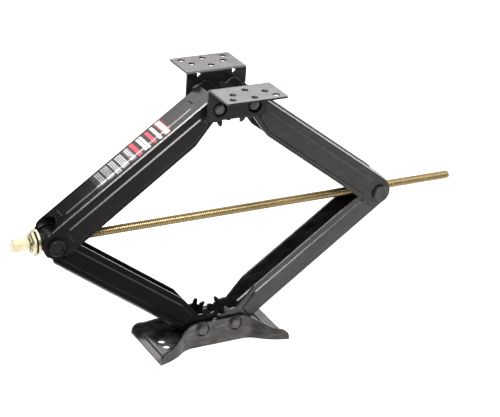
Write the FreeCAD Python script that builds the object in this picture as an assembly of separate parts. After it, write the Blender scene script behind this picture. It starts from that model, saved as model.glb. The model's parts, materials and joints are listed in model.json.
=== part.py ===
import FreeCAD, Part
import math
import os

from FreeCAD import Rotation, Vector

# Scissor stabilizer jack, standing raised on its base plate. Millimetres, +Z up.
# Origin: centre of the base plate's footprint, on the ground. X runs along the lead screw from
# the hex drive (-X) to the free end (+X); the mounting wings open towards -Y (front) and +Y (rear).

# ---- driving dimensions -------------------------------------------------------------------------
ARM_LENGTH = 312.0          # pivot to pivot
PIVOT_SPACING = 58.0        # between the two geared pivots, at the base and at the top
REST_ANGLE = 37.0           # arms above the horizontal
BASE_PIVOT_Z = 31.5         # base pivots above the ground
TOP_PIVOT_DROP = 34.5       # wing top face above the top pivots
SHEET = 3.0                 # stamped sheet thickness
GAP = 0.15                  # play of pins in their holes, on the diameter
FAR = 60.0                  # reach of a cut that goes right through a part

HALF_SPACING = PIVOT_SPACING / 2
REST = math.radians(REST_ANGLE)
KNUCKLE_X = HALF_SPACING + ARM_LENGTH * math.cos(REST)
KNUCKLE_Z = BASE_PIVOT_Z + ARM_LENGTH * math.sin(REST)
TOP_PIVOT_Z = BASE_PIVOT_Z + 2 * ARM_LENGTH * math.sin(REST)

# Arms: channels with the web on the outer side of the diamond (local +Z) and the open side inward.
LOWER_HALF_WIDTH = 19.5
UPPER_HALF_WIDTH = 26.5
WEB_FACE = 18.0             # pivot line to the outer face of the web, at the gear pivot
WEB_RISE = 7.0              # the web stands this much further out at the knuckle
WEB_TILT = math.degrees(math.atan2(WEB_RISE, ARM_LENGTH))
LOWER_FREE_EDGE = ((60.0, -25.5), (270.0, -20.0))   # ends of the flanges' straight free edge,
UPPER_FREE_EDGE = ((60.0, -27.5), (300.0, -24.5))   # along and across the arm
BEND_OUTER = 5.0
BEND_INNER = BEND_OUTER - SHEET
EAR_RADIUS = 19.0
EAR_JOGGLE = 2.5            # the upper arms' knuckle ears are pressed inward by this much
JOGGLE_RADIUS = 17.8
WEB_GEAR_END = -5.4         # web limits along the arm
WEB_KNUCKLE_END = 300.0
WEB_TRIM = 6.0              # the web stops this far short of the flanges' ends
WEB_UNDER = 8.0             # a level below the web and above the pivots
WEB_NOTCH_RADIUS = 20.0
WEB_NOTCH_CENTRE = 304.5
GEAR_NECK = math.radians(-42)   # direction in which the free edge meets the gear

# Pressed panels of the arms, as corners along and across the arm, and their corner radii
LOWER_FLANGE_PANEL = ((24.0, 7.0), (24.0, -9.5), (56.0, -17.0), (288.0, -10.5), (288.0, 14.0))
UPPER_FLANGE_PANEL = ((25.0, 4.5), (25.0, -11.5), (57.0, -21.5), (288.0, -17.0), (288.0, 10.0))
LOWER_WEB_PANEL = ((26.0, -9.5), (272.0, -9.5), (272.0, 9.5), (26.0, 9.5))
PANEL_HALF_WIDTH = 14.0
UPPER_WEB_PANEL = ((23.0, -PANEL_HALF_WIDTH), (277.0, -PANEL_HALF_WIDTH),
                   (277.0, PANEL_HALF_WIDTH), (23.0, PANEL_HALF_WIDTH))
LOWER_FLANGE_RADIUS = 4.0
UPPER_FLANGE_RADIUS = 7.0
LOWER_WEB_RADIUS = 6.0
UPPER_WEB_RADIUS = 8.0
FLANGE_EMBOSS = 2.0
WEB_EMBOSS = 2.0

# Sector gears cut in the flanges, meshing left to right.
TEETH_PER_TURN = 12
PRESSURE_ANGLE = math.radians(25)
PITCH_RADIUS = HALF_SPACING
BASE_CIRCLE = PITCH_RADIUS * math.cos(PRESSURE_ANGLE)
TIP_RADIUS = 33.0
ROOT_RADIUS = 23.9
BACKLASH = 0.7
TOOTH_STEP = 360 / TEETH_PER_TURN
MESH_ANGLE = 180 - REST_ANGLE
RIGHT_TEETH = [MESH_ANGLE + step * TOOTH_STEP for step in (-2, -1, 0, 1)]
LEFT_TEETH = [MESH_ANGLE + (step + 0.5) * TOOTH_STEP for step in (-3, -2, -1, 0)]

# Pivots
BOLT_DIAMETER = 10.0
BOLT_HEAD_FLATS = 14.0
BOLT_HEAD_HEIGHT = 6.4
HEX_CHAMFER = 0.12          # of the radius over the corners
NUT_HEIGHT = 8.0
BOLT_BEYOND_NUT = 2.0
SLEEVE_DIAMETER = 17.0
SLEEVE_PLAY = 0.15
WASHER_DIAMETER = 20.0
PIN_WASHER = 0.8
SIDE_PLAY = 1.0             # arm flange to the seat of the wall beside it

# Base plate
BASE_HALF_LENGTH = 113.6
BASE_WALL_FACE = 25.5       # outer face of the straight middle stretch of wall
BASE_WALL_TOP = 42.5
BASE_END_WALL = 17.0
BASE_END_RADIUS = 15.5      # rounded end of the wall's top edge
BASE_KNEE = (92.0, 19.5)    # where the falling top edge turns nearly level
BASE_KNEE_RADIUS = 30.0
BASE_STRAIGHT = 44.0        # half length of the straight, level stretch
BASE_SHOULDER_RADIUS = 14.0
FLARE_RADIUS = 35.0
FLARE_ANGLE = math.radians(38)
RETURN_RADIUS = 115.0
RETURN_ANGLE = math.radians(11.5)
BASE_HOLE_X = 82.0
BASE_HOLE_Y = 8.6
BASE_HOLE = 12.0
BASE_CUP_RADIUS = 12.5
END_BEAD_X = 98.5
END_BEAD_WIDTH = 9.0
END_BEAD_LENGTH = 84.0
END_BEAD_HEIGHT = 2.0
WALL_PAD_LENGTH = 23.0      # pressed pad between the two pivots, on each wall
WALL_PAD_WIDTH = 8.0
WALL_PAD_HEIGHT = 1.5
WALL_PAD_Z = 32.0
END_FLAT = 0.1              # half the flat left at the rounded ends of pads and beads

# Mounting brackets
BRACKET_HALF_LENGTH = 50.0
BRACKET_WALL_INNER = 34.0
BRACKET_WALL_BELOW = 17.0   # wall below the pivots
WING_EDGE = 96.7
WING_CORNER = 3.0
WING_TOP = TOP_PIVOT_Z + TOP_PIVOT_DROP
WING_HOLE = 10.5
WING_HOLES = [(-35.5, 84.7), (0.0, 84.7), (35.5, 84.7), (-26.5, 66.7), (26.5, 66.7), (0.0, 54.2)]
RELIEF_X = 29.5
RELIEF_WIDTH = 7.5
RELIEF_HEIGHT = 9.0
RELIEF_REACH = 10.0         # how far the relief runs out past the wall's inner face
BRACKET_CUP_RADIUS = 12.5
BRACKET_CUP_FLOOR = 9.8
BRACKET_CUP_SKIN = (2.0, 1.6)   # sheet around the cup, at its mouth and at its floor
RELIEF_BELOW_TOP = 1.5
RELIEF_SLANT = 0.35

# Knuckles
TRUNNION_RADIUS = 16.0
TRUNNION_PLAY = 0.3
TRUNNION_HALF = LOWER_HALF_WIDTH - SHEET - TRUNNION_PLAY
STUB_DIAMETER = 20.0
STUB_CHAMFER = 0.5
RING_DIAMETER = 25.0
RING_HEIGHT = 6.4
RING_CHAMFER = 0.8
RING_PLAY = 0.2
LEFT_STUB_SUNK = 2.0        # the left stub ends inside its ring, the right one flush with it
RIGHT_STUB_SUNK = 0.0
KNUCKLE_WASHER = 1.1
KNUCKLE_WASHER_DIAMETER = 30.0

# Lead screw and its drive end, as distances from the left knuckle's axis
SCREW_DIAMETER = 14.0
SCREW_BORE = 14.2
SCREW_REACH = 703.0
SCREW_CHAMFER = 1.5
THRUST_FACE = 20.4
THRUST_PLAY = 0.1
BOSS_DIAMETER = 26.0
THRUST_WASHER_DIAMETER = 41.0
THRUST_WASHER = 4.0
THRUST_WASHER_CHAMFER = 0.6
DRIVE_NUT_FLATS = 32.0
DRIVE_NUT = 7.0
DRIVE_COLLAR_DIAMETER = 26.0
DRIVE_COLLAR = 2.0
DRIVE_HEX_FLATS = 19.0
DRIVE_HEX_CHAMFER = 0.08    # of the radius over the corners
DRIVE_TIP = 58.8
DRIVE_SOCKET_FLOOR = 49.0
DRIVE_PIN_DIAMETER = 5.0
DRIVE_PIN_AT = 42.0
STOP_COLLAR_DIAMETER = 22.0
STOP_COLLAR = 8.0
STOP_PLAY = 0.2
STOP_PIN_DIAMETER = 4.0
FLAT_FACE = 15.0            # inner flat of the left trunnion

# Label on the upper left arm
LABEL_START = 71.0
LABEL_END = 210.0
LABEL_HALF_WIDTH = 21.0
LABEL_THICKNESS = 0.25
LABEL_LIFT = 0.02

Y_AXIS = Vector(0, 1, 0)


# ---- general helpers ----------------------------------------------------------------------------
def line(a, b):
    return Part.LineSegment(Vector(*a), Vector(*b)).toShape()


def arc(a, middle, b):
    return Part.Arc(Vector(*a), Vector(*middle), Vector(*b)).toShape()


def polygon(points):
    return Part.Face(Part.makePolygon([Vector(*p) for p in points] + [Vector(*points[0])]))


def box(low, high):
    size = [b - a for a, b in zip(low, high)]
    return Part.makeBox(*size, Vector(*low))


def rod_y(radius, y_from, y_to, x=0.0, z=0.0):
    return Part.makeCylinder(radius, y_to - y_from, Vector(x, y_from, z), Y_AXIS)


def rod_x(radius, x_from, x_to, z=0.0):
    return Part.makeCylinder(radius, x_to - x_from, Vector(x_from, 0, z), Vector(1, 0, 0))


def rod_z(radius, z_from, z_to, x, y):
    return Part.makeCylinder(radius, z_to - z_from, Vector(x, y, z_from))


def both_sides(shape):
    return shape.fuse(shape.mirror(Vector(), Y_AXIS))


def fuse_all(first, others):
    return first.fuse(others).removeSplitter()


def unit(a, b):
    length = math.dist(a, b)
    return (b[0] - a[0]) / length, (b[1] - a[1]) / length


def corner_directions(corners):
    """Each corner of a closed outline with the directions of the sides before and after it."""
    for index, corner in enumerate(corners):
        following = corners[(index + 1) % len(corners)]
        yield corner, unit(corners[index - 1], corner), unit(corner, following)


def inset(corners, distance):
    """Corners of a convex outline, listed anticlockwise, moved inward by a distance."""
    moved = []
    for corner, before, after in corner_directions(corners):
        share = distance / (1 + before[0] * after[0] + before[1] * after[1])
        moved.append((corner[0] - share * (before[1] + after[1]), corner[1] + share * (before[0] + after[0])))
    return moved


def rounded_outline(corners, radius, height):
    """Closed wire at a height around a convex outline, its corners rounded to the radius."""
    arcs = []
    for corner, before, after in corner_directions(corners):
        half_turn = math.acos(before[0] * after[0] + before[1] * after[1]) / 2
        back = radius * math.tan(half_turn)
        rise = radius * (1 / math.cos(half_turn) - 1) / (2 * math.sin(half_turn))
        first = (corner[0] - back * before[0], corner[1] - back * before[1], height)
        middle = (corner[0] + rise * (after[0] - before[0]), corner[1] + rise * (after[1] - before[1]), height)
        last = (corner[0] + back * after[0], corner[1] + back * after[1], height)
        arcs.append((first, middle, last))
    edges = []
    for index, points in enumerate(arcs):
        edges.append(arc(*points))
        edges.append(line(points[2], arcs[(index + 1) % len(arcs)][0]))
    return Part.Wire(edges)


def rectangle(length, width):
    x, y = length / 2, width / 2
    return [(-x, -y), (x, -y), (x, y), (-x, y)]


def pressing(corners, radius, depth):
    """Solid of a pressed panel: rises by depth from Z = 0, its sides leaning in at 45 degrees."""
    foot = rounded_outline(corners, radius, 0)
    top = rounded_outline(inset(corners, depth), radius - depth, depth)
    return Part.makeLoft([foot, top], True, True)


def sheet_pressing(corners, radius, depth):
    """The raised side of a pressed panel and the hollow behind it, half a sheet smaller all round."""
    hollow = pressing(inset(corners, SHEET / 2), radius - SHEET / 2, depth)
    return pressing(corners, radius, depth), hollow


def turned(shape, axis, degrees, move=Vector()):
    result = shape.copy()
    result.rotate(Vector(), axis, degrees)
    result.translate(move)
    return result


def hex_prism(flats, height, chamfer=HEX_CHAMFER):
    """Hexagonal prism on the Z axis with its corners chamfered at both ends."""
    corner = flats / math.sqrt(3)
    points = [(corner * math.cos(math.radians(60 * k)), corner * math.sin(math.radians(60 * k)), 0)
              for k in range(6)]
    prism = polygon(points).extrude(Vector(0, 0, height))
    drop = chamfer * corner
    profile = [(0, 0, 0), (corner - 2 * drop, 0, 0), (corner, 0, drop),
               (corner, 0, height - drop), (corner - 2 * drop, 0, height), (0, 0, height)]
    envelope = polygon(profile).revolve(Vector(), Vector(0, 0, 1), 360)
    return prism.common(envelope)


def ring_y(outer, inner, y_from, y_to, x, z):
    return rod_y(outer / 2, y_from, y_to, x, z).cut(rod_y(inner / 2, y_from, y_to, x, z))


# ---- arms ---------------------------------------------------------------------------------------
def involute(angle):
    return math.tan(angle) - angle


def tooth(centre, y_from, y_to):
    """One gear tooth, at an angle measured from the arm (+X) towards the open side (-Z)."""
    pitch_thickness = math.pi * PITCH_RADIUS / TEETH_PER_TURN - BACKLASH
    half_at_pitch = pitch_thickness / 2 / PITCH_RADIUS
    flank = []
    for share in (0.0, 0.25, 0.55, 0.8, 1.0):
        radius = BASE_CIRCLE + share * (TIP_RADIUS - BASE_CIRCLE)
        pressure = math.acos(BASE_CIRCLE / radius)
        flank.append((radius, half_at_pitch + involute(PRESSURE_ANGLE) - involute(pressure)))
    flank.insert(0, (ROOT_RADIUS - 2, flank[0][1]))
    points = []
    for sign, side in ((-1, flank), (1, reversed(flank))):
        for radius, half in side:
            angle = math.radians(-centre) + sign * half
            points.append((radius * math.cos(angle), y_from, radius * math.sin(angle)))
    return polygon(points).extrude(Vector(0, y_to - y_from, 0))


def tangent_point(x, z, side):
    """Point of the knuckle ear's circle where a line from (x, z) touches it."""
    dx, dz = x - ARM_LENGTH, z
    distance = math.hypot(dx, dz)
    angle = math.atan2(dz, dx) + side * math.acos(EAR_RADIUS / distance)
    return ARM_LENGTH + EAR_RADIUS * math.cos(angle), EAR_RADIUS * math.sin(angle)


def arm_side(free_edge, half_width):
    """Side outline of an arm, extruded across its whole width. Gear pivot at the origin."""
    (taper_x, taper_z), (shoulder_x, shoulder_z) = free_edge
    web_start = -math.sqrt(ROOT_RADIUS ** 2 - WEB_FACE ** 2)
    web_end_z = WEB_FACE + WEB_RISE * WEB_KNUCKLE_END / ARM_LENGTH
    above = web_end_z + SHEET
    ear_high = tangent_point(WEB_KNUCKLE_END, web_end_z, -1)
    ear_low = tangent_point(shoulder_x, shoulder_z, 1)
    gear_low = (ROOT_RADIUS * math.cos(GEAR_NECK), ROOT_RADIUS * math.sin(GEAR_NECK))
    y = -half_width
    edges = [
        line((web_start, y, WEB_FACE), (web_start, y, above)),
        line((web_start, y, above), (WEB_KNUCKLE_END, y, above)),
        line((WEB_KNUCKLE_END, y, above), (WEB_KNUCKLE_END, y, web_end_z)),
        line((WEB_KNUCKLE_END, y, web_end_z), (ear_high[0], y, ear_high[1])),
        arc((ear_high[0], y, ear_high[1]), (ARM_LENGTH + EAR_RADIUS, y, 0), (ear_low[0], y, ear_low[1])),
        line((ear_low[0], y, ear_low[1]), (shoulder_x, y, shoulder_z)),
        line((shoulder_x, y, shoulder_z), (taper_x, y, taper_z)),
        line((taper_x, y, taper_z), (gear_low[0], y, gear_low[1])),
        arc((gear_low[0], y, gear_low[1]), (-ROOT_RADIUS, y, 0), (web_start, y, WEB_FACE)),
    ]
    return Part.Face(Part.Wire(edges)).extrude(Vector(0, 2 * half_width, 0))


def along_web(shape):
    """Tilt a shape made on a level web to lie along the sloping one."""
    return turned(shape, Y_AXIS, -WEB_TILT)


def channel_section(half_width):
    """Rounded channel cross-section, swept along the whole arm."""
    start, end, foot = -FAR, ARM_LENGTH + FAR, -FAR
    corner = math.sqrt(0.5)

    def half(side, width, top, radius):
        centre_y, centre_z = width - radius, top - radius
        return [(start, side * width, foot), (start, side * width, centre_z),
                (start, side * (centre_y + radius * corner), centre_z + radius * corner),
                (start, side * centre_y, top)]

    outer_left = half(-1, half_width, WEB_FACE, BEND_OUTER)
    outer_right = half(1, half_width, WEB_FACE, BEND_OUTER)
    inner_left = half(-1, half_width - SHEET, WEB_FACE - SHEET, BEND_INNER)
    inner_right = half(1, half_width - SHEET, WEB_FACE - SHEET, BEND_INNER)
    edges = [line(outer_left[0], outer_left[1]), arc(*outer_left[1:]), line(outer_left[3], outer_right[3]),
             arc(*reversed(outer_right[1:])), line(outer_right[1], outer_right[0]),
             line(outer_right[0], inner_right[0]), line(inner_right[0], inner_right[1]),
             arc(*inner_right[1:]), line(inner_right[3], inner_left[3]),
             arc(*reversed(inner_left[1:])), line(inner_left[1], inner_left[0]),
             line(inner_left[0], outer_left[0])]
    return along_web(Part.Face(Part.Wire(edges)).extrude(Vector(end - start, 0, 0)))


def emboss_flanges(arm, half_width, corners, radius):
    """Long panel pressed outward in both flanges."""
    raised, hollow = sheet_pressing(corners, radius, FLANGE_EMBOSS)
    outward = turned(raised, Vector(1, 0, 0), 90, Vector(0, -half_width, 0))
    inward = turned(hollow, Vector(1, 0, 0), 90, Vector(0, -half_width + SHEET, 0))
    return arm.fuse(both_sides(outward)).cut(both_sides(inward))


def emboss_web(arm, corners, radius):
    """Long panel pressed outward in the web."""
    raised, hollow = sheet_pressing(corners, radius, WEB_EMBOSS)
    raised.translate(Vector(0, 0, WEB_FACE))
    hollow.translate(Vector(0, 0, WEB_FACE - SHEET))
    return arm.fuse(along_web(raised)).cut(along_web(hollow))


def make_arm(half_width, free_edge, teeth, notched):
    """Arm in its own frame: gear pivot at the origin, knuckle on +X, web towards +Z."""
    inner = half_width - SHEET
    arm = arm_side(free_edge, half_width).common(channel_section(half_width))
    arm = arm.cut(box((-FAR, -inner, WEB_UNDER), (WEB_GEAR_END, inner, FAR)))
    arm = arm.cut(box((WEB_KNUCKLE_END - WEB_TRIM, -inner, WEB_UNDER), (ARM_LENGTH + FAR, inner, FAR)))
    if notched:
        arm = arm.cut(rod_z(WEB_NOTCH_RADIUS, WEB_UNDER, FAR, WEB_NOTCH_CENTRE, 0))
    gear = []
    for angle in teeth:
        gear.append(tooth(angle, -half_width, -inner))
        gear.append(tooth(angle, inner, half_width))
    return fuse_all(arm, gear)


def drill_arm(arm, half_width):
    reach = half_width + SHEET
    arm = arm.cut(rod_y((BOLT_DIAMETER + GAP) / 2, -reach, reach))
    return arm.cut(rod_y((STUB_DIAMETER + GAP) / 2, -reach, reach, ARM_LENGTH))


def joggle_ears(arm):
    """Press the knuckle ears of an upper arm inward, towards the lower arm's flanges."""
    inner = UPPER_HALF_WIDTH - SHEET
    seat = UPPER_HALF_WIDTH - EAR_JOGGLE
    ear = rod_y(JOGGLE_RADIUS, seat, UPPER_HALF_WIDTH + 1, ARM_LENGTH)
    ear = ear.fuse(box((ARM_LENGTH, seat, -EAR_RADIUS - 1),
                       (ARM_LENGTH + EAR_RADIUS + 1, UPPER_HALF_WIDTH + 1, EAR_RADIUS + 1)))
    backing = rod_y(EAR_RADIUS, seat - SHEET, inner, ARM_LENGTH)
    return arm.fuse(both_sides(backing)).cut(both_sides(ear))


def lower_arm(teeth, notched):
    arm = make_arm(LOWER_HALF_WIDTH, LOWER_FREE_EDGE, teeth, notched)
    arm = emboss_flanges(arm, LOWER_HALF_WIDTH, LOWER_FLANGE_PANEL, LOWER_FLANGE_RADIUS)
    arm = emboss_web(arm, LOWER_WEB_PANEL, LOWER_WEB_RADIUS)
    return drill_arm(arm, LOWER_HALF_WIDTH).removeSplitter()


def upper_arm(teeth, notched):
    arm = make_arm(UPPER_HALF_WIDTH, UPPER_FREE_EDGE, teeth, notched)
    arm = emboss_flanges(arm, UPPER_HALF_WIDTH, UPPER_FLANGE_PANEL, UPPER_FLANGE_RADIUS)
    arm = emboss_web(arm, UPPER_WEB_PANEL, UPPER_WEB_RADIUS)
    arm = joggle_ears(arm)
    return drill_arm(arm, UPPER_HALF_WIDTH).removeSplitter()


def place_arm(shape, left, lower):
    """Swing an arm to its rest angle and carry it to its pivot."""
    placed = turned(shape, Y_AXIS, REST_ANGLE)
    if left:
        placed = placed.mirror(Vector(), Vector(1, 0, 0))
    if lower:
        placed = placed.mirror(Vector(), Vector(0, 0, 1))
    x = -HALF_SPACING if left else HALF_SPACING
    z = BASE_PIVOT_Z if lower else TOP_PIVOT_Z
    placed.translate(Vector(x, 0, z))
    return placed


def blank_label():
    """Thin label that follows the pressed panel of the upper left arm's web."""
    flat = WEB_FACE + LABEL_LIFT
    high = flat + WEB_EMBOSS
    foot, edge = PANEL_HALF_WIDTH + LABEL_LIFT, PANEL_HALF_WIDTH + LABEL_LIFT - WEB_EMBOSS
    under = [(-LABEL_HALF_WIDTH, flat), (-foot, flat), (-edge, high), (edge, high), (foot, flat),
             (LABEL_HALF_WIDTH, flat)]
    over = [(y, z + LABEL_THICKNESS) for y, z in reversed(under)]
    points = [(LABEL_START, y, z) for y, z in under + over]
    return along_web(polygon(points).extrude(Vector(LABEL_END - LABEL_START, 0, 0)))


# ---- base plate ---------------------------------------------------------------------------------
def base_edge(inset):
    """Edges of one quarter of the base outline (+X, -Y), moved inward by inset."""
    def point(x, y):
        return (x, y, 0)

    start_y = -BASE_WALL_FACE + inset
    flare_centre = (BASE_STRAIGHT, -BASE_WALL_FACE - FLARE_RADIUS)
    flare = FLARE_RADIUS + inset
    bend = (BASE_STRAIGHT + FLARE_RADIUS * math.sin(FLARE_ANGLE),
            -BASE_WALL_FACE - FLARE_RADIUS * (1 - math.cos(FLARE_ANGLE)))
    back_centre = (bend[0] + RETURN_RADIUS * math.sin(FLARE_ANGLE),
                   bend[1] + RETURN_RADIUS * math.cos(FLARE_ANGLE))
    back = RETURN_RADIUS - inset

    def on_flare(angle):
        return point(flare_centre[0] + flare * math.sin(angle), flare_centre[1] + flare * math.cos(angle))

    def on_return(angle):
        return point(back_centre[0] - back * math.sin(angle), back_centre[1] - back * math.cos(angle))

    middle = (FLARE_ANGLE + RETURN_ANGLE) / 2
    return [
        line(point(0, start_y), on_flare(0)),
        arc(on_flare(0), on_flare(FLARE_ANGLE / 2), on_flare(FLARE_ANGLE)),
        arc(on_return(FLARE_ANGLE), on_return(middle), on_return(RETURN_ANGLE)),
    ], on_return(RETURN_ANGLE)


def quarter(inset_from, inset_to, height):
    """A quarter of the wall (+X, -Y) between two insets, standing on the ground."""
    outer, outer_end = base_edge(inset_from)
    inner, inner_end = base_edge(inset_to)
    closing = [line(outer_end, inner_end),
               line((0, -BASE_WALL_FACE + inset_to, 0), (0, -BASE_WALL_FACE + inset_from, 0))]
    wire = Part.Wire(Part.__sortEdges__(outer + inner + closing))
    return Part.Face(wire).extrude(Vector(0, 0, height))


def four_quarters(shape):
    pair = shape.fuse(shape.mirror(Vector(), Vector(1, 0, 0)))
    return both_sides(pair).removeSplitter()


def base_floor():
    outer, end = base_edge(0)
    edges = outer + [line(end, (end[0], 0, 0)), line((end[0], 0, 0), (0, 0, 0)),
                     line((0, 0, 0), (0, -BASE_WALL_FACE, 0))]
    wire = Part.Wire(Part.__sortEdges__(edges))
    return four_quarters(Part.Face(wire).extrude(Vector(0, 0, SHEET)))


def ridges(prism, x, z):
    """The two edges of a prism along Y that stand at distance x from the middle, at height z."""
    return [edge for edge in prism.Edges
            if abs(edge.CenterOfMass.y) < 1 and abs(edge.CenterOfMass.z - z) < 0.1
            and abs(abs(edge.CenterOfMass.x) - x) < 0.1]


def wall_profile():
    """Side view of the base walls: level over the pivots, then falling to rounded ends."""
    right = [(BASE_STRAIGHT, BASE_WALL_TOP), BASE_KNEE, (BASE_HALF_LENGTH, BASE_END_WALL)]
    top = [(-x, -FAR, z) for x, z in reversed(right)] + [(x, -FAR, z) for x, z in right]
    foot = [(BASE_HALF_LENGTH, -FAR, 0), (-BASE_HALF_LENGTH, -FAR, 0)]
    prism = polygon(top + foot).extrude(Vector(0, 2 * FAR, 0))
    for corner, radius in zip(right, (BASE_SHOULDER_RADIUS, BASE_KNEE_RADIUS, BASE_END_RADIUS)):
        prism = prism.makeFillet(radius, ridges(prism, *corner))
    return prism


def base_plate():
    seat = LOWER_HALF_WIDTH + SIDE_PLAY
    cup_depth = BASE_WALL_FACE - SHEET - seat
    wall = four_quarters(quarter(0, SHEET, BASE_WALL_TOP + 1)).common(wall_profile())
    plate = fuse_all(base_floor(), [wall])

    backs, mouths = [], []
    for x in (-HALF_SPACING, HALF_SPACING):
        foot = Vector(x, -seat - cup_depth, BASE_PIVOT_Z)
        backs.append(Part.makeCone(BASE_CUP_RADIUS + SHEET / 2, BASE_CUP_RADIUS, cup_depth, foot, Y_AXIS))
        mouth = Vector(x, -BASE_WALL_FACE, BASE_PIVOT_Z)
        mouths.append(Part.makeCone(BASE_CUP_RADIUS, BASE_CUP_RADIUS - cup_depth, cup_depth, mouth, Y_AXIS))
    below_top = box((-FAR, -FAR, 0), (FAR, FAR, BASE_WALL_TOP))
    plate = plate.fuse([both_sides(back).common(below_top) for back in backs])
    plate = plate.cut([both_sides(mouth) for mouth in mouths])

    pad_corners = rectangle(WALL_PAD_LENGTH, WALL_PAD_WIDTH)
    pad_radius = WALL_PAD_WIDTH / 2 - END_FLAT
    pad, behind = sheet_pressing(pad_corners, pad_radius, WALL_PAD_HEIGHT)
    pad = turned(pad, Vector(1, 0, 0), 90, Vector(0, -BASE_WALL_FACE, WALL_PAD_Z))
    behind = turned(behind, Vector(1, 0, 0), 90, Vector(0, -BASE_WALL_FACE + SHEET, WALL_PAD_Z))
    plate = plate.fuse(both_sides(pad)).cut(both_sides(behind))

    bead_corners = rectangle(END_BEAD_WIDTH, END_BEAD_LENGTH)
    for side in (-1, 1):
        bead_radius = END_BEAD_WIDTH / 2 - END_FLAT
        ridge, groove = sheet_pressing(bead_corners, bead_radius, END_BEAD_HEIGHT)
        ridge.translate(Vector(side * END_BEAD_X, 0, SHEET))
        groove.translate(Vector(side * END_BEAD_X, 0, 0))
        plate = plate.fuse(ridge).cut(groove)
        for y in (-BASE_HOLE_Y, BASE_HOLE_Y):
            plate = plate.cut(rod_z(BASE_HOLE / 2, -SHEET, 2 * SHEET, side * BASE_HOLE_X, y))
        plate = plate.cut(rod_y((BOLT_DIAMETER + GAP) / 2, -FAR, FAR, side * HALF_SPACING, BASE_PIVOT_Z))
    return plate.removeSplitter()


# ---- mounting brackets --------------------------------------------------------------------------
def bracket_section():
    """Profile of the front bracket in the YZ plane: wall below, wing going out to -Y."""
    inner, outer = -BRACKET_WALL_INNER, -BRACKET_WALL_INNER - SHEET
    low = TOP_PIVOT_Z - BRACKET_WALL_BELOW
    top, under = WING_TOP, WING_TOP - SHEET
    corner = math.sqrt(0.5)
    x = -BRACKET_HALF_LENGTH
    convex_y, convex_z = inner - BEND_OUTER, top - BEND_OUTER
    convex_mid = (x, convex_y + BEND_OUTER * corner, convex_z + BEND_OUTER * corner)
    concave_mid = (x, convex_y + BEND_INNER * corner, convex_z + BEND_INNER * corner)
    edges = [
        line((x, inner, low), (x, inner, convex_z)),
        arc((x, inner, convex_z), convex_mid, (x, convex_y, top)),
        line((x, convex_y, top), (x, -WING_EDGE, top)),
        line((x, -WING_EDGE, top), (x, -WING_EDGE, under)),
        line((x, -WING_EDGE, under), (x, convex_y, under)),
        arc((x, convex_y, under), concave_mid, (x, outer, convex_z)),
        line((x, outer, convex_z), (x, outer, low)),
        line((x, outer, low), (x, inner, low)),
    ]
    return Part.Face(Part.Wire(edges)).extrude(Vector(2 * BRACKET_HALF_LENGTH, 0, 0))


def mounting_bracket():
    bracket = bracket_section()
    corners = [edge for edge in bracket.Edges
               if abs(abs(edge.CenterOfMass.x) - BRACKET_HALF_LENGTH) < 0.01
               and abs(edge.CenterOfMass.y + WING_EDGE) < 0.01]
    bracket = bracket.makeFillet(WING_CORNER, corners)
    seat = UPPER_HALF_WIDTH + SIDE_PLAY
    depth = BRACKET_WALL_INNER - seat
    face = -BRACKET_WALL_INNER - SHEET
    mouth_skin, floor_skin = BRACKET_CUP_SKIN
    low = TOP_PIVOT_Z - BRACKET_WALL_BELOW
    below_wing = box((-FAR, -FAR, low), (FAR, 0, WING_TOP - BEND_OUTER))
    for x in (-HALF_SPACING, HALF_SPACING):
        foot = Vector(x, -BRACKET_WALL_INNER, TOP_PIVOT_Z)
        cup = Part.makeCone(BRACKET_CUP_RADIUS + mouth_skin, BRACKET_CUP_FLOOR + floor_skin, depth, foot, Y_AXIS)
        bracket = bracket.fuse(cup.common(below_wing))
        mouth = Vector(x, face, TOP_PIVOT_Z)
        bracket = bracket.cut(Part.makeCone(BRACKET_CUP_RADIUS, BRACKET_CUP_FLOOR, depth, mouth, Y_AXIS))
        bracket = bracket.cut(rod_y((BOLT_DIAMETER + GAP) / 2, -FAR, 0, x, TOP_PIVOT_Z))
    for x, y in WING_HOLES:
        bracket = bracket.cut(rod_z(WING_HOLE / 2, WING_TOP - BEND_OUTER, WING_TOP + SHEET, x, -y))
    for side in (-1, 1):
        left, right = side * RELIEF_X - RELIEF_WIDTH / 2, side * RELIEF_X + RELIEF_WIDTH / 2
        high = WING_TOP - RELIEF_BELOW_TOP
        notch = polygon([(left, 0, high), (right, 0, high - RELIEF_SLANT * RELIEF_HEIGHT),
                         (left, 0, high - RELIEF_HEIGHT)])
        bracket = bracket.cut(notch.extrude(Vector(0, -BRACKET_WALL_INNER - RELIEF_REACH, 0)))
    return bracket.removeSplitter()


# ---- pivot hardware -----------------------------------------------------------------------------
def pivot_bolt(seat, x, z):
    """Hex bolt from the front: head against the front wall, shank through to the rear nut."""
    head = turned(hex_prism(BOLT_HEAD_FLATS, BOLT_HEAD_HEIGHT), Vector(1, 0, 0), 90, Vector(x, -seat, z))
    shank = rod_y(BOLT_DIAMETER / 2, -seat, seat + NUT_HEIGHT + BOLT_BEYOND_NUT, x, z)
    return head.fuse(shank).removeSplitter()


def pivot_nut(seat, x, z):
    nut = turned(hex_prism(BOLT_HEAD_FLATS, NUT_HEIGHT), Vector(1, 0, 0), -90, Vector(x, seat, z))
    return nut.cut(rod_y(BOLT_DIAMETER / 2, 0, FAR, x, z))


def pivot_sleeve(half_length, x, z):
    return ring_y(SLEEVE_DIAMETER, BOLT_DIAMETER + GAP, -half_length, half_length, x, z)


def pivot_washers(arm_face, z):
    """Four thin washers between the arms' flanges and the walls beside them."""
    start = arm_face + (SIDE_PLAY - PIN_WASHER) / 2
    solids = []
    for x in (-HALF_SPACING, HALF_SPACING):
        front = ring_y(WASHER_DIAMETER, BOLT_DIAMETER + GAP, -start - PIN_WASHER, -start, x, z)
        solids += [front, front.mirror(Vector(), Y_AXIS)]
    return Part.Compound(solids)


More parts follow.
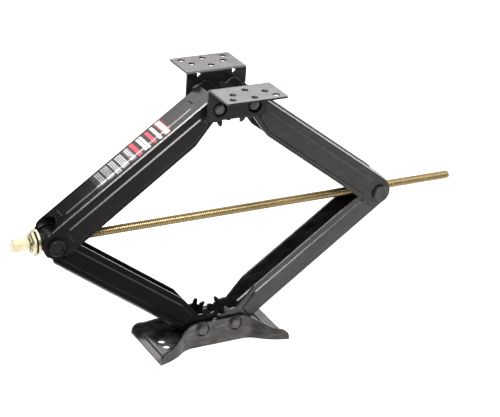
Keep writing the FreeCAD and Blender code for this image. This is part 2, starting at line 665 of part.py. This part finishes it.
# ---- knuckles -----------------------------------------------------------------------------------
RING_SEAT = UPPER_HALF_WIDTH - EAR_JOGGLE + RING_PLAY


def trunnion(stub_sunk):
    """Cross block between the ears, centred on the origin, with a round stub each side."""
    stub_end = RING_SEAT + RING_HEIGHT - stub_sunk
    block = rod_y(TRUNNION_RADIUS, -TRUNNION_HALF, TRUNNION_HALF)
    stub = rod_y(STUB_DIAMETER / 2, -stub_end, stub_end)
    ends = [edge for edge in stub.Edges if abs(abs(edge.CenterOfMass.y) - stub_end) < 0.01]
    return block.fuse(stub.makeChamfer(STUB_CHAMFER, ends))


def left_trunnion():
    boss = rod_x(BOSS_DIAMETER / 2, -THRUST_FACE + THRUST_PLAY, 0)
    block = trunnion(LEFT_STUB_SUNK).fuse(boss)
    block = block.cut(box((FLAT_FACE, -TRUNNION_HALF, -FAR), (FAR, TRUNNION_HALF, FAR)))
    block = block.cut(rod_x((SCREW_DIAMETER + GAP) / 2, -FAR, FAR))
    return block.removeSplitter()


def right_trunnion_nut():
    return trunnion(RIGHT_STUB_SUNK).cut(rod_x(SCREW_BORE / 2, -FAR, FAR)).removeSplitter()


def retaining_rings():
    """Chamfered rings that hold the ears on the stubs, one each side."""
    face = RING_SEAT + RING_HEIGHT
    ring = ring_y(RING_DIAMETER, STUB_DIAMETER, RING_SEAT, face, 0, 0)
    rim = [edge for edge in ring.Edges
           if abs(edge.CenterOfMass.y - face) < 0.01 and edge.Length > math.pi * (RING_DIAMETER - 1)]
    ring = ring.makeChamfer(RING_CHAMFER, rim)
    return Part.Compound([ring, ring.mirror(Vector(), Y_AXIS)])


def knuckle_washers():
    """Washers between the lower and upper ears, one each side."""
    room = UPPER_HALF_WIDTH - EAR_JOGGLE - SHEET - LOWER_HALF_WIDTH
    start = LOWER_HALF_WIDTH + (room - KNUCKLE_WASHER) / 2
    ring = ring_y(KNUCKLE_WASHER_DIAMETER, STUB_DIAMETER + GAP, start, start + KNUCKLE_WASHER, 0, 0)
    return Part.Compound([ring, ring.mirror(Vector(), Y_AXIS)])


# ---- lead screw and drive end -------------------------------------------------------------------
WASHER_END = THRUST_FACE + THRUST_WASHER
NUT_END = WASHER_END + DRIVE_NUT
COLLAR_END = NUT_END + DRIVE_COLLAR
STOP_START = FLAT_FACE + STOP_PLAY


def drive_bore():
    return rod_x(SCREW_DIAMETER / 2, -DRIVE_SOCKET_FLOOR, FAR)


def drive_pin():
    return rod_y(DRIVE_PIN_DIAMETER / 2, -DRIVE_HEX_FLATS / 2, DRIVE_HEX_FLATS / 2, -DRIVE_PIN_AT)


def stop_pin():
    x = STOP_START + STOP_COLLAR / 2
    return rod_y(STOP_PIN_DIAMETER / 2, -STOP_COLLAR_DIAMETER / 2, STOP_COLLAR_DIAMETER / 2, x)


def lead_screw():
    rod = rod_x(SCREW_DIAMETER / 2, -DRIVE_SOCKET_FLOOR, SCREW_REACH)
    tip = [edge for edge in rod.Edges if abs(edge.CenterOfMass.x - SCREW_REACH) < 0.01]
    return rod.makeChamfer(SCREW_CHAMFER, tip).cut([drive_pin(), stop_pin()])


def drive_hex():
    length = DRIVE_TIP - COLLAR_END
    prism = hex_prism(DRIVE_HEX_FLATS, length, DRIVE_HEX_CHAMFER)
    hexagon = turned(prism, Y_AXIS, 90, Vector(-DRIVE_TIP, 0, 0))
    return hexagon.cut([drive_bore(), drive_pin()])


def drive_collar():
    return rod_x(DRIVE_COLLAR_DIAMETER / 2, -COLLAR_END, -NUT_END).cut(drive_bore())


def drive_nut():
    nut = turned(hex_prism(DRIVE_NUT_FLATS, DRIVE_NUT), Y_AXIS, 90, Vector(-NUT_END, 0, 0))
    return nut.cut(drive_bore())


def thrust_washer():
    washer = rod_x(THRUST_WASHER_DIAMETER / 2, -WASHER_END, -THRUST_FACE)
    return washer.makeChamfer(THRUST_WASHER_CHAMFER, washer.Edges[:1]).cut(drive_bore())


def stop_collar():
    collar = rod_x(STOP_COLLAR_DIAMETER / 2, STOP_START, STOP_START + STOP_COLLAR)
    return collar.cut([drive_bore(), stop_pin()])


# ---- assembly -----------------------------------------------------------------------------------
def at_left_knuckle(shape):
    return turned(shape, Y_AXIS, 0, Vector(-KNUCKLE_X, 0, KNUCKLE_Z))


def at_right_knuckle(shape):
    return turned(shape, Y_AXIS, 0, Vector(KNUCKLE_X, 0, KNUCKLE_Z))


def build():
    base_seat = LOWER_HALF_WIDTH + SIDE_PLAY + SHEET
    top_seat = UPPER_HALF_WIDTH + SIDE_PLAY + SHEET
    front = mounting_bracket()
    nodes = {
        "base_plate": base_plate(),
        "base_pivot_washers": pivot_washers(LOWER_HALF_WIDTH, BASE_PIVOT_Z),
        "top_pivot_washers": pivot_washers(UPPER_HALF_WIDTH, TOP_PIVOT_Z),
        "mounting_bracket_front": front,
        "mounting_bracket_rear": front.mirror(Vector(), Y_AXIS),
        "lower_arm_left": place_arm(lower_arm(LEFT_TEETH, True), True, True),
        "lower_arm_right": place_arm(lower_arm(RIGHT_TEETH, False), False, True),
        "upper_arm_left": place_arm(upper_arm(LEFT_TEETH, True), True, False),
        "upper_arm_right": place_arm(upper_arm(RIGHT_TEETH, False), False, False),
        "blank_label": place_arm(blank_label(), True, False),
        "left_trunnion": at_left_knuckle(left_trunnion()),
        "left_retaining_rings": at_left_knuckle(retaining_rings()),
        "left_knuckle_washers": at_left_knuckle(knuckle_washers()),
        "right_trunnion_nut": at_right_knuckle(right_trunnion_nut()),
        "right_retaining_rings": at_right_knuckle(retaining_rings()),
        "right_knuckle_washers": at_right_knuckle(knuckle_washers()),
        "lead_screw": at_left_knuckle(lead_screw()),
        "drive_hex": at_left_knuckle(drive_hex()),
        "drive_pin": at_left_knuckle(drive_pin()),
        "drive_collar": at_left_knuckle(drive_collar()),
        "drive_nut": at_left_knuckle(drive_nut()),
        "thrust_washer": at_left_knuckle(thrust_washer()),
        "stop_collar": at_left_knuckle(stop_collar()),
        "stop_pin": at_left_knuckle(stop_pin()),
    }
    for name, x in (("left", -HALF_SPACING), ("right", HALF_SPACING)):
        for level, seat, half_width, z in (("base", base_seat, LOWER_HALF_WIDTH, BASE_PIVOT_Z),
                                           ("top", top_seat, UPPER_HALF_WIDTH, TOP_PIVOT_Z)):
            nodes[f"{level}_pivot_bolt_{name}"] = pivot_bolt(seat, x, z)
            nodes[f"{level}_pivot_nut_{name}"] = pivot_nut(seat, x, z)
            nodes[f"{level}_pivot_sleeve_{name}"] = pivot_sleeve(half_width - SHEET - SLEEVE_PLAY, x, z)
    return nodes


os.makedirs("parts", exist_ok=True)
for node_name, node_shape in build().items():
    node_shape.exportStep(f"parts/{node_name}.step")
    print(node_name, node_shape.isValid(), len(node_shape.Solids), round(node_shape.Volume))
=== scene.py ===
import json
import math

import bpy
from mathutils import Matrix, Vector


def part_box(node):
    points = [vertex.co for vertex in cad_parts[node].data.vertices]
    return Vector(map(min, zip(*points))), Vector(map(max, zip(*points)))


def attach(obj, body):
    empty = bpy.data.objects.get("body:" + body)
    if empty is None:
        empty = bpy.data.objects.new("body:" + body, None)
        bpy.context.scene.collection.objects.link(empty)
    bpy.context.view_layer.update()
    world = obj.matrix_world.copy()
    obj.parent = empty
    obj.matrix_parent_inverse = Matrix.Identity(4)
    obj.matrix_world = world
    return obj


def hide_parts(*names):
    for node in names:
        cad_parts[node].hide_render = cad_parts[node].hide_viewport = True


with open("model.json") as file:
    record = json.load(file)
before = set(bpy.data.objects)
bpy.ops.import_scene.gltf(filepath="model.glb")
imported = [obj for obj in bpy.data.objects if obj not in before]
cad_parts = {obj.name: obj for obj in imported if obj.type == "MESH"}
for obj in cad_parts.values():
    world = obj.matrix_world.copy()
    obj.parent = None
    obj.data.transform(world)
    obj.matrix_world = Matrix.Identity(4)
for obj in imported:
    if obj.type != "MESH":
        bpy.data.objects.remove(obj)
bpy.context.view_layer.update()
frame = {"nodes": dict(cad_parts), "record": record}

# ---- the jack, in metres and radians ------------------------------------------------------------
REST = math.radians(37)                 # slope of the arms at rest
ARM = 0.312                             # between an arm's two pivots
HALF_SPACING = 0.029                    # from the middle to a base or top pivot
BASE_PIVOT_Z = 0.0315
KNUCKLE_Z = BASE_PIVOT_Z + ARM * math.sin(REST)
TOP_PIVOT_Z = BASE_PIVOT_Z + 2 * ARM * math.sin(REST)
WEB_TILT = math.atan2(0.007, ARM)       # an upper arm's web leans by this from the line of its pivots

SCREW_RADIUS = 0.007
SCREW_CHAMFER = 0.002                   # length over which the thread fades at the free end
THREAD_DEPTH = 0.0011
THREAD_PITCH = 0.003
THREAD_PROFILE = (1.0, 0.45, 0.0, 0.45)  # height at each quarter turn, from crest to crest
THREAD_SIDES = 28                       # points around the rod

# ---- colours, linear ----------------------------------------------------------------------------
COAT_DARK = (0.0042, 0.0040, 0.0040)
COAT_LIGHT = (0.0085, 0.0080, 0.0078)
DUST = (0.17, 0.158, 0.148, 1)
COAT_WORN = (0.15, 0.145, 0.14, 1)
PLATING_WORN = (0.20, 0.19, 0.18, 1)
# painted shade for the root of the thread
THREAD_ROOT_SHADE = (0.016, 0.011, 0.005, 1)
# painted shade for crevices between parts
CREVICE_SHADE = (0.030, 0.018, 0.006, 1)
LABEL_BLACK = (0.010, 0.010, 0.011, 1)
LABEL_RED = (0.50, 0.045, 0.065, 1)
LABEL_WHITE = (0.90, 0.90, 0.88, 1)
FLOOR_TONES = (0.86, 0.86, 0.86, 1), (0.88, 0.88, 0.88, 1)
WARM_WHITE = (1.0, 0.972, 0.958)

# ---- label, in millimetres: from the top pivot along the arm, then from the arm's middle across -----
LABEL_BARS = [(74.5, 85.5, -21, 20, LABEL_RED), (76.5, 83.5, -21, 18, LABEL_WHITE),
              (90.5, 95.2, -20.5, 18, LABEL_WHITE), (100, 105.6, -19, 17, LABEL_RED),
              (112, 115.8, -20, 18, LABEL_WHITE), (117.6, 121.6, -19, 18, LABEL_WHITE),
              (128, 134.5, -20, 19, LABEL_RED)]
LABEL_TICKS = [(138.5, 147, -18, 18, 0.74), (151.5, 163, -18, 17, 0.66), (167, 175.5, -20, 18, 0.58),
               (179, 190, -17, 18, 0.48), (193.5, 203.5, -15, 17, 0.38)]

# ---- camera and stage, in metres and degrees ----------------------------------------------------
CAMERA_AZIMUTH, CAMERA_ELEVATION, CAMERA_ROLL = -26.16, 28.573, 2.617
CAMERA_PIVOT = (0, 0, 0.1875)
CAMERA_DISTANCE = 2.5844
CAMERA_SHIFT = 0.1069, 0.1104           # to the left and down
LENS = 74.3616                          # millimetres, on a 36 mm sensor
AIM = (0.055, 0.0, 0.2165)
ZOOM = 1.62
FLOOR_REACH = 30.0


# ---- node helpers -------------------------------------------------------------------------------
class Nodes:
    """Builds one material's node tree."""

    def __init__(self, name):
        self.material = bpy.data.materials.new(name)
        self.material.use_nodes = True
        self.tree = self.material.node_tree
        self.shader = self.tree.nodes["Principled BSDF"]
        self.place = self.new("ShaderNodeTexCoord").outputs["Object"]

    def new(self, kind, **settings):
        node = self.tree.nodes.new(kind)
        for key, value in settings.items():
            setattr(node, key, value)
        return node

    def join(self, source, target):
        """Links an output, or writes a constant, into an input."""
        if hasattr(source, "is_output"):
            self.tree.links.new(source, target)
        else:
            target.default_value = source

    def set(self, name, value):
        self.join(value, self.shader.inputs[name])

    def split(self, vector):
        node = self.new("ShaderNodeSeparateXYZ")
        self.join(vector, node.inputs[0])
        return node.outputs

    def noise(self, scale, detail=4.0, roughness=0.55, stretch=None):
        node = self.new("ShaderNodeTexNoise")
        place = self.place
        if stretch:
            mapping = self.new("ShaderNodeMapping")
            mapping.inputs["Scale"].default_value = stretch
            self.join(place, mapping.inputs["Vector"])
            place = mapping.outputs["Vector"]
        self.join(place, node.inputs["Vector"])
        node.inputs["Scale"].default_value = scale
        node.inputs["Detail"].default_value = detail
        node.inputs["Roughness"].default_value = roughness
        return node.outputs["Fac"]

    def math(self, operation, a, b=0.0, c=0.0):
        node = self.new("ShaderNodeMath", operation=operation)
        for value, socket in zip((a, b, c), node.inputs):
            self.join(value, socket)
        return node.outputs[0]

    def times(self, a, b):
        return self.math("MULTIPLY", a, b)

    def blend(self, a, share, b):
        """Adds two values in the given shares of the first and the rest."""
        return self.math("ADD", self.times(a, share), self.times(b, 1.0 - share))

    def span(self, value, low, high, to_low=0.0, to_high=1.0):
        node = self.new("ShaderNodeMapRange")
        node.clamp = True
        for item, socket in zip((value, low, high, to_low, to_high), node.inputs):
            self.join(item, socket)
        return node.outputs[0]

    def mix(self, share, a, b):
        node = self.new("ShaderNodeMix", data_type="RGBA")
        self.join(share, node.inputs["Factor"])
        self.join(a, node.inputs["A"])
        self.join(b, node.inputs["B"])
        return node.outputs["Result"]

    def bump(self, height, distance, strength, normal=None):
        node = self.new("ShaderNodeBump")
        node.inputs["Distance"].default_value = distance
        node.inputs["Strength"].default_value = strength
        self.join(height, node.inputs["Height"])
        if normal is not None:
            self.join(normal, node.inputs["Normal"])
        return node.outputs["Normal"]

    def soft_edges(self, radius):
        node = self.new("ShaderNodeBevel", samples=4)
        node.inputs["Radius"].default_value = radius
        return node.outputs["Normal"]

    def across(self):
        """1 where the surface faces straight to the front or rear, 0 where it faces up, down or along."""
        normal = self.new("ShaderNodeTexCoord").outputs["Normal"]
        return self.math("ABSOLUTE", self.split(normal)["Y"])

    def edge_mask(self, radius):
        """1 where the surface turns sharply within the radius, 0 on flats."""
        dot = self.new("ShaderNodeVectorMath", operation="DOT_PRODUCT")
        self.join(self.soft_edges(radius), dot.inputs[0])
        self.join(self.new("ShaderNodeNewGeometry").outputs["Normal"], dot.inputs[1])
        return self.span(self.math("SUBTRACT", 1.0, dot.outputs["Value"]), 0.04, 0.4)


def scaled(color, tone):
    return tuple(channel * tone for channel in color) + (1,)


# ---- materials ----------------------------------------------------------------------------------
def black_paint(name, side, web, bend, slope, dust=0.15, tone=1.0, edge=0.0018, fade=None):
    """Black powder coat: orange peel, slow waves in the pressed sheet, uneven gloss, dust, worn edges.

    side, web, bend and slope are the coat's shine on flat sides, on the channel's web, on bends and
    on the slopes of pressings. fade scales it along a left arm, from the knuckle to the middle.
    tone scales the coat's colour; below 1 it is painted shade, for parts that stand in shade.
    """
    n = Nodes(name)
    turn = n.across()
    on_side = n.span(turn, 0.90, 0.985)
    on_web = n.span(turn, 0.04, 0.20, 1.0, 0.0)
    on_slope = n.times(n.span(turn, 0.66, 0.70), n.span(turn, 0.72, 0.76, 1.0, 0.0))
    shine = n.math("MULTIPLY_ADD", on_web, web - bend, bend)
    shine = n.math("MULTIPLY_ADD", on_side, side - bend, shine)
    shine = n.math("MULTIPLY_ADD", on_slope, slope - bend, shine)
    if fade:
        shine = n.times(shine, n.span(n.split(n.place)["X"], -0.27, -0.10, *fade))
    n.set("Specular IOR Level", shine)

    cloud = n.noise(9.0, 5.0)
    smear = n.noise(34.0, 5.0, 0.6, (1.0, 1.0, 3.0))
    speck = n.noise(900.0, 2.0, 0.6)
    coat = n.mix(n.span(cloud, 0.35, 0.68), scaled(COAT_DARK, tone), scaled(COAT_LIGHT, tone))
    film = n.times(n.span(smear, 0.42, 0.75), n.span(speck, 0.35, 0.7, 0.45, 1.0))
    dusty = n.mix(n.times(film, dust), coat, DUST)
    wear = n.times(n.edge_mask(0.0007), n.span(n.noise(150.0, 4.0), 0.42, 0.62))
    n.set("Base Color", n.mix(n.times(wear, 0.30), dusty, COAT_WORN))
    n.set("Roughness", n.span(n.blend(smear, 0.6, cloud), 0.3, 0.7, 0.17, 0.29))

    peel = n.bump(n.noise(2600.0, 2.0, 0.5), 0.00006, 0.30, n.soft_edges(edge))
    waves = n.bump(n.noise(40.0, 2.0, 0.4), 0.0015, 0.22, peel)
    n.set("Normal", n.bump(n.noise(240.0, 3.0), 0.0001, 0.14, waves))
    return n.material


def zinc(name, dark, light, stain, metallic, gloss, streak=(1.0, 1.0, 1.0), thread_radius=None, gap=None):
    """Chromated zinc plating: drifting tint and dull stains.

    thread_radius paints shade into the root of a thread cut in a rod along X, a painted shadow of the
    thread. gap paints shade into crevices of that width, found by ambient occlusion.
    """
    n = Nodes(name)
    cloud = n.noise(26.0, 5.0, 0.6, streak)
    fine = n.noise(420.0, 4.0, 0.6)
    plating = n.mix(n.span(cloud, 0.32, 0.66), dark, light)
    plating = n.mix(n.span(fine, 0.48, 0.72, 0.0, 0.45), plating, stain)
    if thread_radius:
        place = n.split(n.place)
        height = n.math("SUBTRACT", place["Z"], KNUCKLE_Z)
        square = n.math("ADD", n.math("POWER", height, 2.0), n.math("POWER", place["Y"], 2.0))
        low, high = thread_radius - THREAD_DEPTH, thread_radius - 0.15 * THREAD_DEPTH
        # painted shade: darkens the thread's root, where the thread's own shadow falls
        root = n.span(n.math("POWER", square, 0.5), low, high, 1.0, 0.0)
        plating = n.mix(n.times(root, 0.94), plating, THREAD_ROOT_SHADE)
    if gap:
        # painted shade: ambient occlusion darkens crevices between parts, where shade falls
        crevice = n.new("ShaderNodeAmbientOcclusion", samples=6)
        crevice.inputs["Distance"].default_value = gap
        plating = n.mix(n.span(crevice.outputs["AO"], 0.45, 0.92, 0.95, 0.0), plating, CREVICE_SHADE)
    n.set("Base Color", plating)
    n.set("Metallic", metallic)
    n.set("Roughness", n.span(n.blend(fine, 0.5, cloud), 0.3, 0.7, *gloss))
    n.set("Normal", n.bump(fine, 0.0001, 0.2, n.soft_edges(0.0004)))
    return n.material


def dark_plating(name, tone, metallic, shine):
    """Blackened fastener steel with worn, slightly brighter edges."""
    n = Nodes(name)
    cloud = n.noise(60.0, 5.0)
    fine = n.noise(900.0, 3.0)
    plating = n.mix(n.span(cloud, 0.35, 0.7), scaled((0.6, 0.6, 0.6), tone), scaled((1.5, 1.45, 1.4), tone))
    wear = n.times(n.edge_mask(0.0006), n.span(fine, 0.4, 0.6))
    n.set("Base Color", n.mix(n.times(wear, 0.5), plating, PLATING_WORN))
    n.set("Metallic", metallic)
    n.set("Specular IOR Level", shine)
    n.set("Roughness", n.span(fine, 0.3, 0.7, 0.28, 0.44))
    n.set("Normal", n.bump(fine, 0.00008, 0.3, n.soft_edges(0.0005)))
    return n.material


def plain_label():
    """Printed vinyl: plain bars across the strip and blocks of fine ticks, no lettering."""
    n = Nodes("plain_bar_label")
    direction = Vector((-math.cos(REST - WEB_TILT), 0, -math.sin(REST - WEB_TILT)))
    start = direction.dot(Vector((-HALF_SPACING, 0, TOP_PIVOT_Z)))
    along = n.new("ShaderNodeVectorMath", operation="DOT_PRODUCT")
    n.join(n.place, along.inputs[0])
    along.inputs[1].default_value = direction
    u = n.times(n.math("SUBTRACT", along.outputs["Value"], start), 1000.0)
    v = n.times(n.split(n.place)["Y"], 1000.0)

    def band(value, low, high, soft=0.3):
        rise = n.span(value, low - soft, low + soft)
        fall = n.span(value, high - soft, high + soft, 1.0, 0.0)
        return n.times(rise, fall)

    color = LABEL_BLACK
    for low, high, left, right, ink in LABEL_BARS:
        color = n.mix(n.times(band(u, low, high), band(v, left, right)), color, ink)
    ticks = n.span(n.math("SINE", n.times(u, 2.1)), -0.5, 0.3)
    rows = n.span(n.math("SINE", n.times(v, 1.3)), -0.95, -0.6)
    broken = n.span(n.noise(300.0, 2.0, 0.5, (1.0, 2.2, 1.0)), 0.36, 0.44)
    weave = n.times(n.times(ticks, broken), rows)
    for low, high, left, right, tone in LABEL_TICKS:
        block = n.times(band(u, low, high), band(v, left, right))
        color = n.mix(n.times(block, weave), color, scaled((1.0, 1.0, 1.04), tone))
    n.set("Base Color", color)
    n.set("Roughness", n.span(n.noise(70.0), 0.3, 0.7, 0.30, 0.42))
    n.set("Normal", n.bump(n.noise(500.0), 0.00005, 0.15))
    return n.material


def paint_frame():
    """Gives every CAD node its material. Returns the ones shared by slot."""
    own = {
        # painted shade: the left arms are darker copies of the same coat (tone 0.7 and 0.4), and they carry
        # little dust
        "upper_arm_left": black_paint("paint_upper_left_shaded", side=0.09, web=0.24, bend=0.70, slope=0.24,
                                      dust=0.01, tone=0.7, edge=0.0022, fade=(0.42, 1.2)),
        "upper_arm_right": black_paint("paint_upper_right", side=0.28, web=0.62, bend=1.0, slope=0.05,
                                       dust=0.08),
        "lower_arm_left": black_paint("paint_lower_left_shaded", side=0.03, web=0.90, bend=0.6, slope=0.06,
                                      dust=0.0, tone=0.4),
        "lower_arm_right": black_paint("paint_lower_right", side=0.38, web=0.90, bend=1.0, slope=0.30,
                                       dust=0.12),
        "base_plate": black_paint("paint_base", side=0.48, web=0.40, bend=0.22, slope=0.22,
                                  dust=0.45, edge=0.0012),
    }
    bolt_plating = dark_plating("bolt_head_plating", tone=0.055, metallic=0.55, shine=0.2)
    for side in ("left", "right"):
        for level in ("base", "top"):
            own[f"{level}_pivot_bolt_{side}"] = bolt_plating
    free_knuckle = dark_plating("free_knuckle_plating", tone=0.030, metallic=0.4, shine=0.3)
    for part in ("trunnion_nut", "retaining_rings"):
        own[f"right_{part}"] = free_knuckle
    by_slot = {
        "black_paint": black_paint("paint_brackets", side=0.17, web=0.42, bend=0.8, slope=0.5,
                                   dust=0.03, tone=0.8, edge=0.0010),
        "zinc_yellow": zinc("yellow_zinc_plating", dark=(0.24, 0.175, 0.072, 1),
                            light=(0.42, 0.325, 0.155, 1), stain=(0.08, 0.057, 0.022, 1), metallic=0.85,
                            gloss=(0.18, 0.34), streak=(0.25, 1.0, 1.0), thread_radius=SCREW_RADIUS),
        "zinc_pale": zinc("pale_zinc_plating", dark=(0.33, 0.30, 0.19, 1), light=(0.60, 0.57, 0.42, 1),
                          stain=(0.12, 0.085, 0.03, 1), metallic=0.9, gloss=(0.14, 0.34), gap=0.007),
        "zinc_dark": dark_plating("knuckle_plating", tone=0.005, metallic=0.10, shine=0.10),
        "label": plain_label(),
    }
    slots = {part["node"]: part["material_slot"] for part in frame["record"]["subparts"]}
    for name, obj in frame["nodes"].items():
        obj.data.materials.clear()
        obj.data.materials.append(own.get(name, by_slot[slots[name]]))
    return by_slot


# ---- lead screw ---------------------------------------------------------------------------------
def thread_height(phase):
    """Height of the thread's profile, 0 to 1, at a share of a turn."""
    steps = len(THREAD_PROFILE)
    place = (phase % 1.0) * steps
    index = int(place) % steps
    share = place - int(place)
    return THREAD_PROFILE[index] * (1 - share) + THREAD_PROFILE[(index + 1) % steps] * share


def threaded_rod(x_from, x_to, y, z):
    """Mesh of a rod along X with a real helical thread that fades at its free end."""
    per_turn = len(THREAD_PROFILE)
    length = x_to - x_from
    rings = int(round(length / THREAD_PITCH * per_turn))
    verts, faces = [], []
    for ring in range(rings + 1):
        x = x_from + length * ring / rings
        fading = min(1.0, (x_to - x) / SCREW_CHAMFER)
        for step in range(THREAD_SIDES):
            turn = step / THREAD_SIDES
            height = thread_height(ring / per_turn - turn)
            radius = SCREW_RADIUS - THREAD_DEPTH + THREAD_DEPTH * height * fading
            angle = 2 * math.pi * turn
            verts.append((x, y + radius * math.cos(angle), z + radius * math.sin(angle)))
    for ring in range(rings):
        for step in range(THREAD_SIDES):
            a = ring * THREAD_SIDES + step
            b = ring * THREAD_SIDES + (step + 1) % THREAD_SIDES
            faces.append((a, b, b + THREAD_SIDES, a + THREAD_SIDES))
    faces.append(tuple(reversed(range(THREAD_SIDES))))
    faces.append(tuple(rings * THREAD_SIDES + step for step in range(THREAD_SIDES)))
    mesh = bpy.data.meshes.new("threaded_rod")
    mesh.from_pydata(verts, [], faces)
    mesh.validate()
    for polygon in mesh.polygons:
        polygon.use_smooth = True
    mesh.set_sharp_from_angle(angle=math.radians(60))
    return mesh


def build_screw(material):
    low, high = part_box("lead_screw")
    mesh = threaded_rod(low.x, high.x, 0.0, KNUCKLE_Z)
    mesh.materials.append(material)
    rod = bpy.data.objects.new("threaded_rod", mesh)
    bpy.context.scene.collection.objects.link(rod)
    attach(rod, "screw")
    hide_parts("lead_screw")


# ---- stage --------------------------------------------------------------------------------------
def floor():
    n = Nodes("pale_floor")
    n.set("Base Color", n.mix(n.span(n.noise(1.6, 2.0), 0.3, 0.7), *FLOOR_TONES))
    n.set("Roughness", 0.8)
    n.set("Specular IOR Level", 0.1)
    corners = [(FLOOR_REACH * x, FLOOR_REACH * y, 0) for x, y in ((-1, -1), (1, -1), (1, 1), (-1, 1))]
    mesh = bpy.data.meshes.new("floor")
    mesh.from_pydata(corners, [], [(0, 1, 2, 3)])
    mesh.materials.append(n.material)
    obj = bpy.data.objects.new("floor", mesh)
    bpy.context.scene.collection.objects.link(obj)


def add_light(name, kind, power, direction):
    data = bpy.data.lights.new(name, kind)
    data.energy = power
    data.color = WARM_WHITE
    light = bpy.data.objects.new(name, data)
    bpy.context.scene.collection.objects.link(light)
    light.rotation_euler = direction.to_track_quat("-Z", "Y").to_euler()
    return light


def area_light(name, place, target, size, power, spread):
    light = add_light(name, "AREA", power, Vector(target) - Vector(place))
    light.location = place
    light.data.shape = "RECTANGLE"
    light.data.size, light.data.size_y = size
    light.data.spread = math.radians(spread)


def lights():
    """A soft overhead light, with panels behind for the wings and webs, and in front for the edges."""
    world = bpy.data.worlds.new("studio")
    bpy.context.scene.world = world
    world.use_nodes = True
    background = world.node_tree.nodes["Background"]
    background.inputs["Color"].default_value = (1.0, 1.0, 1.0, 1)
    background.inputs["Strength"].default_value = 0.09
    sun = add_light("soft_top", "SUN", 3.6, Vector((-0.10, 0.12, -1.0)))
    sun.data.angle = math.radians(80)
    area_light("back_right", (0.95, 1.95, 1.72), (0.0, 0.0, 0.42), (2.0, 1.0), 31, 180)
    area_light("back_left", (-0.36, 1.10, 1.30), (-0.08, 0.0, 0.42), (0.6, 0.6), 4.5, 180)
    area_light("key_left", (-0.62, -0.85, 1.32), (-0.06, 0.0, 0.34), (0.6, 0.7), 15, 110)
    area_light("low_right", (1.6, -0.25, 0.60), (0.15, 0.0, 0.22), (0.9, 0.7), 7, 110)


def camera():
    """The product shot's camera, swung from there to the aim and zoomed in."""
    data = bpy.data.cameras.new("camera")
    obj = bpy.data.objects.new("camera", data)
    bpy.context.scene.collection.objects.link(obj)
    azimuth, elevation = math.radians(CAMERA_AZIMUTH), math.radians(CAMERA_ELEVATION)
    roll = math.radians(CAMERA_ROLL)
    back = Vector((math.sin(azimuth) * math.cos(elevation), -math.cos(azimuth) * math.cos(elevation),
                   math.sin(elevation)))
    right = (-back).cross(Vector((0, 0, 1))).normalized()
    up = right.cross(-back)
    shift_left, shift_down = CAMERA_SHIFT
    obj.location = Vector(CAMERA_PIVOT) + back * CAMERA_DISTANCE - right * shift_left - up * shift_down
    turned_right = right * math.cos(roll) + up * math.sin(roll)
    turned_up = up * math.cos(roll) - right * math.sin(roll)
    facing = Matrix((turned_right, turned_up, back)).transposed()
    aim = (Vector(AIM) - obj.location).normalized()
    swing = (-back).rotation_difference(aim).to_matrix()
    obj.rotation_euler = (swing @ facing).to_euler()
    data.sensor_width = 36
    data.lens = LENS * ZOOM
    data.clip_end = 100
    bpy.context.scene.camera = obj


materials_by_slot = paint_frame()
build_screw(materials_by_slot["zinc_yellow"])
floor()
lights()
camera()
bpy.context.scene.view_settings.view_transform = "Standard"
